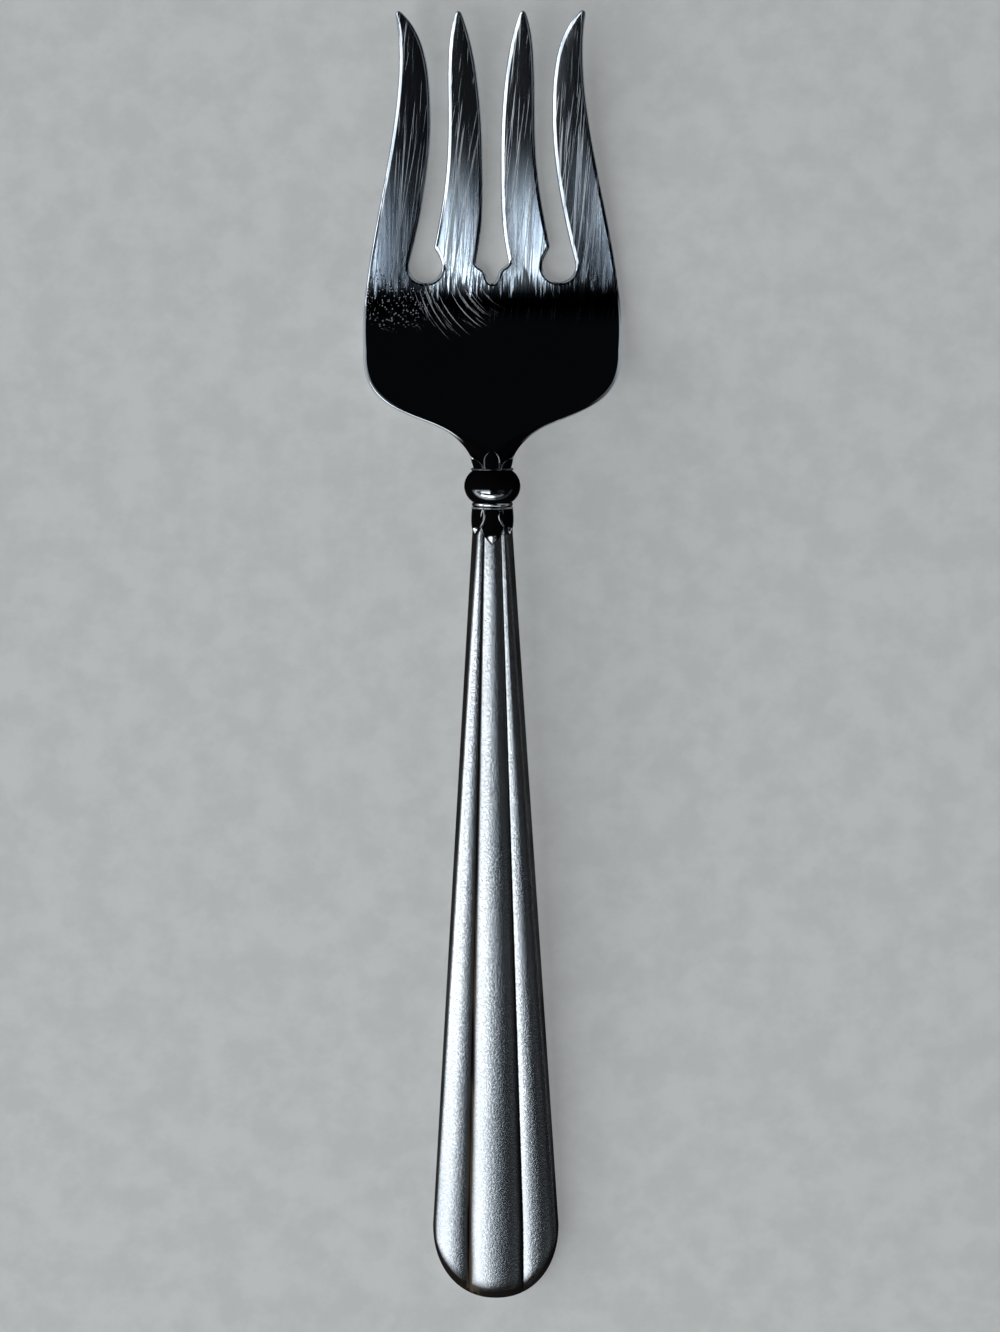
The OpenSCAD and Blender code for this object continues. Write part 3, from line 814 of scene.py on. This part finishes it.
# The head: palm, four tines and neck, measured from the foot of the neck
head = {
    "width": 43.4,
    "neckDiameter": 6.4,
    "neckHollow": 4.4,
    "palmLength": 31.3,
    "tineLength": 45.3,
    "shoulder": (10.8, 7.6),
    "flareJoin": 4.6,
    "widestHeight": 20.0,
    "outerTipSpread": 30.8,
    "innerTipSpread": 10.8,
    "tipWidth": 1.1,
    "middleGap": 3.0,
    "innerTineWidth": 5.8,
    "sideGap": 2.9,
    "waists": (0.44, 0.68, 0.6),      # in the middle gap and on both sides of a side gap, up the tines
    "slotEndDiameter": 5.5,
    "slotEndSpread": 22.5,
    "slotEndHeight": 2.9,             # above the palm
    "slotCusp": (-1.45, 3.1),         # from the middle of the slot's end
    "middleRootHeight": 3.5,          # above the palm
    "middleRootWidth": 5.4,
    "slotThroat": (-1.45, -1.3),      # from the middle root
    "palmThickness": 2.2,
    "tipThickness": 1.1,
    "tipRise": 9.6,
    "dishRadius": 420.0,
    "neckStraight": 3.3,
    "neckFall": 3.0,                  # degrees, downwards
    "neckBlend": 8.0,                 # height over which the round neck becomes a sheet
    "taperEnd": 14.3,
    "bellyHeight": 29.5,
    "ridgeReach": (14.0, 4.4),        # half width of the neck's ridge on the back, at its foot and above
    "ridgeNarrows": 6.0,
    "ridgeFade": (12.0, 8.0),         # start and reach
    "ridgeBlend": 0.3,
    "edgeRound": 0.70,                # width of the rounded edge on the front
    "backRound": 0.50,
    "edgeDrop": 0.55,                 # height of the rounded edge
    "shoulderDrop": 0.92,             # the same at the shoulders
    "shoulderFade": (13.0, 6.0),      # start and reach of the change between them
    "edgeRoom": 0.8,                  # most of the room inside the outline that an edge takes
    "neckRoom": (0.96, 4.0),          # the same at the neck, and the widest there
    "edgeShare": 0.42,                # most of the thickness that an edge takes
    "edgeSpread": 3,                  # points over which a narrow edge is eased
    "halfSeam": 0.05,
    "spacing": 0.26,                  # between points of the outline
    "cornerEasing": 2,
    "fillSpacing": 0.60,              # between points inside it
    "edgeRings": 9,
    "crown": 0.04,                    # fall of the front towards its edges
    "crownReach": 3.2,
    "neckShadeLean": (0.05, 0.10),      # start and reach of the painted shade on the neck, by the sideways lean
    "neckShadeFade": (11.0, 9.0),       # by the height
    "rimShine": 0.9,                  # share of the painted shade that the rim loses
    "rimWidth": (0.2, 0.35),
    "rimFrom": (4.0, 3.0),
    "tangDiameter": 3.2,
    "tangTip": 2.4,
    "tangTaper": 56.0,
    "tangStraight": 1.0,              # below the handle's mouth
    "tangSink": 0.02,
    "tangTarnish": 0.9,
    "tangSegments": 48,
}
headLength = head["palmLength"] + head["tineLength"]
bellyZ = head["palmThickness"] / 2 - handle["restFlat"]
dishZ = bellyZ + head["dishRadius"]


# Share of the way from the belly to the tips
def pastBelly(v):
    return (v - head["bellyHeight"]) / (headLength - head["bellyHeight"])


# Height of the middle of the metal
def headSpine(v):
    t = v / head["bellyHeight"]
    fall = math.tan(math.radians(head["neckFall"]))
    palmPart = mix(neckZ, bellyZ, smooth(t)) - head["bellyHeight"] * fall * t * (1 - t) ** 2
    tinePart = bellyZ + head["tipRise"] * pastBelly(v) ** 2
    return np.where(v < head["bellyHeight"], palmPart, tinePart)


def headThickness(v):
    taper = smooth((v - head["neckStraight"]) / (head["taperEnd"] - head["neckStraight"]))
    lower = mix(head["neckDiameter"], head["palmThickness"], taper)
    upper = mix(head["palmThickness"], head["tipThickness"], pastBelly(v))
    return np.where(v < head["bellyHeight"], lower, upper)


def dished(height, u):
    return dishZ - np.sqrt((dishZ - height) ** 2 - u * u)


def headFront(u, v):
    return dished(headSpine(v) + headThickness(v) / 2, u)


def sheetBack(v):
    front = headSpine(v) + headThickness(v) / 2
    return np.maximum(front - headThickness(v), front - head["palmThickness"])


# Underside: the thin sheet, with the round neck running out into it
def headBack(u, v):
    sheet = sheetBack(v)
    core = neckZ + v * math.tan(tilt) - head["neckDiameter"] / 2
    proud = sheet - core
    ridge = 0.5 * (proud + np.sqrt(proud * proud + head["ridgeBlend"]))
    reach = mix(*head["ridgeReach"], smooth(v / head["ridgeNarrows"]))
    hump = np.cos(np.pi / 2 * within(np.abs(u) / reach)) ** 2
    fade = 1 - rise(v, *head["ridgeFade"])
    return np.maximum(0.0, dished(sheet, u) - ridge * hump * fade)


# How far the front falls near its edges, and how much it leans there
def edgeFall(gap, v):
    share = within(1 - gap / head["crownReach"]) * smooth(v / head["neckBlend"])
    return head["crown"] * share ** 2, 2 * head["crown"] / head["crownReach"] * share


# The right half of the outline, from the foot of the neck to the middle slot
# Each bend and arc goes on from the last one, with directions in degrees
def rightOutline():
    tip = head["tipWidth"] / 2
    slotRadius = head["slotEndDiameter"] / 2

    def upTine(share):
        return head["palmLength"] + head["tineLength"] * share

    def arcTo(centre, radius, first, last, steps):
        return [centre + radius * towards(mix(first, last, i / steps)) for i in range(1, steps + 1)]

    shoulder = np.array(head["shoulder"])
    widest = np.array([head["width"] / 2, head["widestHeight"]])
    outerTip = np.array([head["outerTipSpread"] / 2, headLength - tip])
    innerTip = np.array([head["innerTipSpread"] / 2, headLength - tip])
    middleAt, innerAt, outerAt = head["waists"]
    middleWaist = np.array([head["middleGap"] / 2, upTine(middleAt)])
    innerWaist = np.array([middleWaist[0] + head["innerTineWidth"], upTine(innerAt)])
    outerWaist = np.array([innerWaist[0] + head["sideGap"], upTine(outerAt)])
    slotEnd = np.array([head["slotEndSpread"] / 2, head["palmLength"] + head["slotEndHeight"]])
    slotCusp = slotEnd + np.array(head["slotCusp"])
    middleRoot = np.array([head["middleRootWidth"] / 2, head["palmLength"] + head["middleRootHeight"]])
    slotThroat = middleRoot + np.array(head["slotThroat"])
    slotBottom = np.array([0.0, head["palmLength"]])
    join = np.array([neckFlare(head["flareJoin"]), head["flareJoin"]])
    chain = [np.array([neckFlare(v), v]) for v in np.linspace(0, head["flareJoin"], 24)]
    chain += bend(join, 44, shoulder, 21, 24)
    chain += bend(shoulder, 21, widest, 92, 60, 0.46)
    chain += bend(widest, 86, outerTip + tip * towards(-10), 80, 120, 0.29)
    chain += arcTo(outerTip, tip, -10, 143, 16)
    chain += bend(chain[-1], 222, outerWaist, 270, 60)
    chain += bend(outerWaist, 270, slotEnd + slotRadius * towards(8), 285, 60, 0.3)
    chain += arcTo(slotEnd, slotRadius, 8, -208, 60)
    chain += [slotCusp]
    chain += bend(slotCusp, 102, innerWaist, 90, 70, 0.42)
    chain += bend(innerWaist, 90, innerTip + tip * towards(24), 111, 40, 0.3)
    chain += arcTo(innerTip, tip, 24, 160, 16)
    chain += bend(chain[-1], 248, middleWaist, 270, 70, 0.3)
    chain += bend(middleWaist, 270, middleRoot, 282, 50, 0.38)
    chain += bend(middleRoot, 252, slotThroat, 230, 20)
    chain += bend(slotThroat, 242, slotBottom, 198, 30, 0.36)
    return chain


# The whole outline, evenly spaced and with its sharpest corners eased
def headOutline():
    right = rightOutline()
    left = [np.array([-p[0], p[1]]) for p in reversed(right[:-1])]
    chain = np.array(right + left)
    steps = np.linalg.norm(np.diff(chain, axis=0), axis=1)
    along = np.concatenate([[0], np.cumsum(steps)])
    places = np.linspace(0, along[-1], 2 * round(along[-1] / 2 / head["spacing"]) + 1)
    even = np.column_stack([np.interp(places, along, chain[:, k]) for k in (0, 1)])
    for _ in range(head["cornerEasing"]):
        even[1:-1] = 0.5 * even[1:-1] + 0.25 * (even[:-2] + even[2:])
    return even


# Radius of the largest circle inside the outline that touches it at each point
def roomInside(outline, inward):
    room = np.empty(len(outline))
    for i, p in enumerate(outline):
        away = outline - p
        ahead = away @ inward[i]
        reach = (away ** 2).sum(axis=1)
        facing = ahead > 1e-4
        room[i] = np.min(reach[facing] / (2 * ahead[facing]))
    return room


def runningLeast(values, reach):
    padded = np.pad(values, reach, mode="edge")
    least = np.array([padded[i:i + 2 * reach + 1].min() for i in range(len(values))])
    kernel = np.ones(2 * reach + 1) / (2 * reach + 1)
    return np.convolve(np.pad(least, reach, mode="edge"), kernel, mode="valid")


# Normal of a height field, pointing up
def fieldNormal(field, u, v):
    step = 0.02
    slopeU = (field(u + step, v) - field(u - step, v)) / (2 * step)
    slopeV = (field(u, v + step) - field(u, v - step)) / (2 * step)
    normal = np.column_stack([-slopeU, -slopeV, np.ones(len(u))])
    return normal / np.linalg.norm(normal, axis=1)[:, None]


# Finds the point of a loop that is nearest to a place
def nearestOn(loop):
    tree = KDTree(len(loop))
    for i, p in enumerate(loop):
        tree.insert((p[0], p[1], 0), i)
    tree.balance()
    return tree


# Points inside a closed loop, on a grid, clear of the loop itself
def fillPoints(loop):
    step = head["fillSpacing"]
    us = np.arange(-head["width"] / 2, head["width"] / 2 + step, step)
    vs = np.arange(0.5 * step, headLength, step)
    grid = np.array([(u + (0.5 * step if k % 2 else 0), v) for k, v in enumerate(vs) for u in us])
    inside = np.zeros(len(grid), bool)
    for a, b in zip(loop, np.roll(loop, -1, axis=0)):
        if a[1] == b[1]:
            continue
        crosses = (a[1] > grid[:, 1]) != (b[1] > grid[:, 1])
        inside ^= crosses & (grid[:, 0] < a[0] + (grid[:, 1] - a[1]) * (b[0] - a[0]) / (b[1] - a[1]))
    tree = nearestOn(loop)
    return np.array([g for g in grid[inside] if tree.find((g[0], g[1], 0))[2] > 0.5 * step])


def makeHead():
    outline = headOutline()
    count = len(outline)
    tangent = np.gradient(outline, axis=0)
    tangent[0] = tangent[-1] * (1, -1)
    tangent /= np.linalg.norm(tangent, axis=1)[:, None]
    inward = np.column_stack([-tangent[:, 1], tangent[:, 0]])
    inward[0], inward[-1] = (-1, 0), (1, 0)
    room = roomInside(outline, inward)
    neckward = 1 - smooth(outline[:, 1] / head["neckBlend"])
    neckShare, neckMost = head["neckRoom"]
    neckAxis = neckZ + outline[:, 1] * math.tan(tilt)
    turns = [math.pi / 2 * k / head["edgeRings"] for k in range(head["edgeRings"] + 1)]

    points, normals, ringStarts = [], [], {}
    for side, field, sign in (("front", headFront, 1), ("back", headBack, -1)):
        width = head["edgeRound"] if sign > 0 else head["backRound"]
        plain = runningLeast(np.minimum(width, head["edgeRoom"] * room), head["edgeSpread"])
        reach = mix(plain, np.maximum(plain, neckShare * np.minimum(room, neckMost)), neckward)
        thickness = headThickness(np.maximum(outline[:, 1], head["taperEnd"]))
        deeper = mix(head["shoulderDrop"], head["edgeDrop"], rise(outline[:, 1], *head["shoulderFade"]))
        drop = np.minimum(deeper, head["edgeShare"] * thickness)
        flatEdge = headFront(outline[:, 0], outline[:, 1])
        if sign < 0:
            flatEdge = dished(sheetBack(outline[:, 1]), outline[:, 0])
        edgeZ = mix(flatEdge - sign * drop, neckAxis + sign * head["halfSeam"], neckward)
        edgeZ = np.maximum(edgeZ, head["halfSeam"])
        ringStarts[side] = len(points)
        for turn in turns:
            gap = reach * (1 - math.cos(turn))
            ring = outline + inward * gap[:, None]
            out = np.column_stack([-inward, np.zeros(count)])
            flat = field(ring[:, 0], ring[:, 1])
            up = fieldNormal(field, ring[:, 0], ring[:, 1]) * sign
            if sign > 0:
                fall, lean = edgeFall(gap, outline[:, 1])
                flat = flat - fall
                up = up + out * lean[:, None]
            z = edgeZ + (flat - edgeZ) * math.sin(turn)
            height = np.abs(flat - edgeZ)
            normal = out * (height * math.cos(turn))[:, None] + up * (reach * math.sin(turn))[:, None]
            points += list(np.column_stack([ring, z]))
            normals += list(normal)
    faces = []
    rings = len(turns)

    def at(side, k, i):
        return ringStarts[side] + k * count + i

    for i in range(count - 1):
        for k in range(rings - 1):
            faces.append((at("front", k, i), at("front", k, i + 1),
                          at("front", k + 1, i + 1), at("front", k + 1, i)))
            faces.append((at("back", k, i), at("back", k + 1, i),
                          at("back", k + 1, i + 1), at("back", k, i + 1)))
        faces.append((at("front", 0, i), at("back", 0, i), at("back", 0, i + 1), at("front", 0, i + 1)))
    foot = [at("front", k, 0) for k in reversed(range(rings))] + [at("back", k, 0) for k in range(rings)]
    foot += [at("back", k, count - 1) for k in reversed(range(rings))]
    foot += [at("front", k, count - 1) for k in range(rings)]
    faces.append(tuple(reversed(foot)))

    border = nearestOn(outline)
    for side, field, sign in (("front", headFront, 1), ("back", headBack, -1)):
        ring = np.array([points[at(side, rings - 1, i)][:2] for i in range(count)])
        fill = fillPoints(ring)
        flat = [Vector(p) for p in ring] + [Vector(p) for p in fill]
        edges = [(i, (i + 1) % count) for i in range(count)]
        spots, _, cells, sources, _, _ = delaunay_2d_cdt(flat, edges, [], 1, 1e-6)
        names = {}
        for k, spot in enumerate(spots):
            source = sources[k][0] if sources[k] else None
            if source is not None and source < count:
                names[k] = at(side, rings - 1, source)
                continue
            u, v = np.array([spot.x]), np.array([spot.y])
            nearest, _, gap = border.find((spot.x, spot.y, 0))
            fall, lean = edgeFall(gap, spot.y) if sign > 0 else (0.0, 0.0)
            out = np.array([nearest.x - spot.x, nearest.y - spot.y, 0]) / max(gap, 0.01)
            names[k] = len(points)
            points.append(np.array([spot.x, spot.y, field(u, v)[0] - fall]))
            normals.append(fieldNormal(field, u, v)[0] * sign + out * lean)
        for cell in cells:
            face = tuple(names[k] for k in cell)
            faces.append(face if sign > 0 else tuple(reversed(face)))

    placed, patinaAndShade = [], []
    for (u, v, z), normal in zip(points, normals):
        steep = rise(abs(normal[0]) / np.linalg.norm(normal), *head["neckShadeLean"])
        gap = border.find((u, v, 0))[2]
        onRim = (1 - rise(gap, *head["rimWidth"])) * rise(v, *head["rimFrom"])
        low = 1 - rise(v, *head["neckShadeFade"])
        patinaAndShade.append(steep * (1 - head["rimShine"] * onRim) * low)   # painted shade on the neck's flanks, round the foot of the neck
        square = (z - neckZ) * math.tan(tilt) * (1 - smooth(v / head["neckBlend"]))
        placed.append(Vector((u, neckY + v - square, z)))   # squares the neck's foot to the handle
    rod, rodFaces = tangRod()
    offset = len(placed)
    placed += onHandle(rod)
    faces += [tuple(i + offset for i in face) for face in rodFaces]
    normals += [(p[0], 0, p[2]) for p in rod]
    patinaAndShade += [head["tangTarnish"]] * len(rod)
    makePiece("forkHead", placed, faces, "fork_head", polishedLook, normals, patinaAndShade)


# The tang, a tapered round rod from the neck into the filler
def tangRod():
    around, radius = head["tangSegments"], head["tangDiameter"] / 2
    taperStart = handle["length"] - head["tangStraight"]
    stations = [(head["tangTip"] / 2, taperStart - head["tangTaper"]), (radius, taperStart),
                (radius, neckStart - head["tangSink"])]
    angles = [2 * math.pi * i / around for i in range(around)]
    points = [(r * math.sin(a), y, r * math.cos(a)) for r, y in stations for a in angles]
    faces = []
    for k in range(len(stations) - 1):
        for i in range(around):
            j = (i + 1) % around
            faces.append((k * around + i, k * around + j, (k + 1) * around + j, (k + 1) * around + i))
    faces.append(tuple(reversed(range(around))))
    faces.append(tuple(range(len(points) - around, len(points))))
    return points, faces


makeBolster()
makeHead()

# Camera straight above, as the photograph was taken
cameraRig = {
    "height": 1600.0,
    "lens": 257.8,
    "sensor": 36.0,
    "target": (1.1, -1.74, 6.0),
    "aside": 20.0,
    "roll": -0.22,        # degrees
    "nearest": 0.01,      # metres
}


def makeCamera():
    target = Vector(cameraRig["target"]) * mm
    eye = target + Vector((cameraRig["aside"], 0, cameraRig["height"])) * mm
    forward = (target - eye).normalized()
    right = forward.cross(Vector((0, 1, 0))).normalized()
    up = right.cross(forward)
    roll = Matrix.Rotation(math.radians(cameraRig["roll"]), 3, "Z")
    turnedView = Matrix((right, up, -forward)).transposed() @ roll
    lens = bpy.data.cameras.new("camera")
    lens.lens = cameraRig["lens"]
    lens.sensor_width = cameraRig["sensor"]
    lens.clip_start = cameraRig["nearest"]
    rig = bpy.data.objects.new("camera", lens)
    rig.matrix_world = Matrix.Translation(eye) @ turnedView.to_4x4()
    bpy.context.scene.collection.objects.link(rig)
    bpy.context.scene.camera = rig


# Soft panels to the left and in front, a pale strip overhead, and soft glows for the other sides
# Lengths are in metres. The fades of the sky are given as parts of a direction.
studio = {
    "panels": {                        # middle, size, radiance and colour
        "window": ((-1.49, -1.10, 2.0), (2.26, 2.00), 2.1, (0.95, 0.985, 1.0)),
        "frontBox": ((0.0, -2.60, 1.15), (4.5, 0.5), 3.0, (0.95, 0.98, 1.0)),
        "leftBox": ((-2.60, -0.20, 1.15), (2.2, 1.1), 2.8, (0.95, 0.98, 1.0)),
    },
    "levelAbove": 1.9,                 # panels below this height face the fork
    "strip": (3.0, 3.48, 3.92, 1),
    "stripWide": (0.0, 0.053),
    "stripBehind": (-0.02, 0.20),
    "stripAhead": (-0.50, -0.02),
    "stripPower": 3.2,                 # of the fading ahead
    "stripLean": 0.10,
    "stripFoot": (0.3, 0.5),
    "farBand": (0.36, 0.52),           # heights over which the far band fades
    "farSlope": 0.55,                  # its climb towards the sides
    "farGap": (0.12, 0.32),            # half of the dark gap in its middle, which the palm mirrors
    "farBehind": (0.15, 0.45),
    "farFoot": (0.02, 0.12),
    "farStrength": 0.42,
    "nearGlow": ((0.569, -0.478, 0.669), 6, 19, 0.18),   # direction, inner and outer angle, strength
    "glow": (0.90, 0.95, 1.0, 1),
    "ceiling": (0.0020, 0.0026, 0.0032, 1),
    "walls": (0.85, 0.89, 0.93, 1),
    "wallSides": (-0.45, -0.35, 0.30),   # brighter to the left and in front, and everywhere
    "wallFade": (0.02, 0.42),
    "horizon": (0.16, 0.3),            # height and strength of the glow all round
    "floorLight": (0.56, 0.575, 0.57, 1),
    "floorDark": (0.48, 0.495, 0.49, 1),
    "floorMottle": ((140, 140, 140), 5, 0.6),
    "mottleLimits": (0.35, 0.65),
    "floorRoughness": 0.9,
    "floorGloss": 0.1,
    "floorLift": 0.18,
    "floorSize": 3.0,
    "floorGap": 0.0001,                # below the fork
}


def makePanel(name, middle, size, radiance, colour):
    light = bpy.data.lights.new(name, "AREA")
    light.shape = "RECTANGLE"
    light.size, light.size_y = size
    light.color = colour
    light.energy = radiance * math.pi * size[0] * size[1]
    panel = bpy.data.objects.new(name, light)
    panel.location = middle
    if middle[2] < studio["levelAbove"]:
        panel.rotation_euler = Vector(middle).to_track_quat("Z", "Y").to_euler()
    panel.visible_camera = False
    bpy.context.scene.collection.objects.link(panel)


def makeSky():
    world = bpy.data.worlds.new("studio")
    world.use_nodes = True
    bpy.context.scene.world = world
    wire = Wire(world.node_tree)
    direction = wire.node("ShaderNodeTexCoord", {}, {}, "Generated")
    x = wire.node("ShaderNodeSeparateXYZ", {}, {0: direction}, "X")
    y, z = x.other("Y"), x.other("Z")
    left, front, everywhere = studio["wallSides"]
    top, bright = studio["horizon"]
    sideways = (x * left + y * front + everywhere).eased(0.0, 1.0)
    wall = z.eased(*studio["wallFade"], 1.0, 0.0) * sideways + z.eased(0.0, top, bright, 0.0)
    sky = wall.tinted(studio["ceiling"], studio["walls"])
    axis, inner, outer, strength = studio["nearGlow"]
    near = wire.node("ShaderNodeVectorMath", {"operation": "DOT_PRODUCT"}, {0: direction, 1: axis}, "Value")
    lobe = near.eased(math.cos(math.radians(outer)), math.cos(math.radians(inner))) * strength
    aside = x.size()
    far = ((z - aside * studio["farSlope"]).eased(*studio["farBand"], 1.0, 0.0)
           * aside.eased(*studio["farGap"]) * y.eased(*studio["farBehind"])
           * z.eased(*studio["farFoot"]) * studio["farStrength"])
    sky = (lobe + far).tinted(sky, studio["glow"])
    strip = ((x - y * studio["stripLean"]).size().eased(*studio["stripWide"], 1.0, 0.0)
             * y.eased(*studio["stripBehind"], 1.0, 0.0)
             * y.eased(*studio["stripAhead"]) ** studio["stripPower"] * z.eased(*studio["stripFoot"]))
    sky = strip.tinted(sky, studio["strip"])
    world.node_tree.links.new(sky.socket, world.node_tree.nodes["Background"].inputs["Color"])


def makeFloor():
    half = studio["floorSize"]
    mesh = bpy.data.meshes.new("floor")
    corners = [(-half, -half, 0), (half, -half, 0), (half, half, 0), (-half, half, 0)]
    mesh.from_pydata(corners, [], [(0, 1, 2, 3)])
    floor = bpy.data.objects.new("floor", mesh)
    floor.location.z = -studio["floorGap"]
    bpy.context.scene.collection.objects.link(floor)
    material, wire, shader = newMaterial("floor")
    place = wire.node("ShaderNodeTexCoord", {}, {}, "Object")
    mottle = wire.noise(place, *studio["floorMottle"]).eased(*studio["mottleLimits"])
    plug(wire, shader, Base_Color=mottle.tinted(studio["floorDark"], studio["floorLight"]))
    shader.inputs["Roughness"].default_value = studio["floorRoughness"]
    shader.inputs["Specular IOR Level"].default_value = studio["floorGloss"]
    ray = wire.node("ShaderNodeLightPath", {}, {}, "Is Camera Ray")
    seen = ray + ray.other("Is Glossy Ray") + ray.other("Is Transmission Ray")
    lift = seen.tinted((0, 0, 0, 1), (studio["floorLift"],) * 3 + (1,))
    plug(wire, shader, Emission_Color=lift)
    shader.inputs["Emission Strength"].default_value = 1.0
    mesh.materials.append(material)


makeCamera()
for name, panel in studio["panels"].items():
    makePanel(name, *panel)
makeSky()
makeFloor()
bpy.context.scene.view_settings.view_transform = "Standard"
print("camera and studio set")
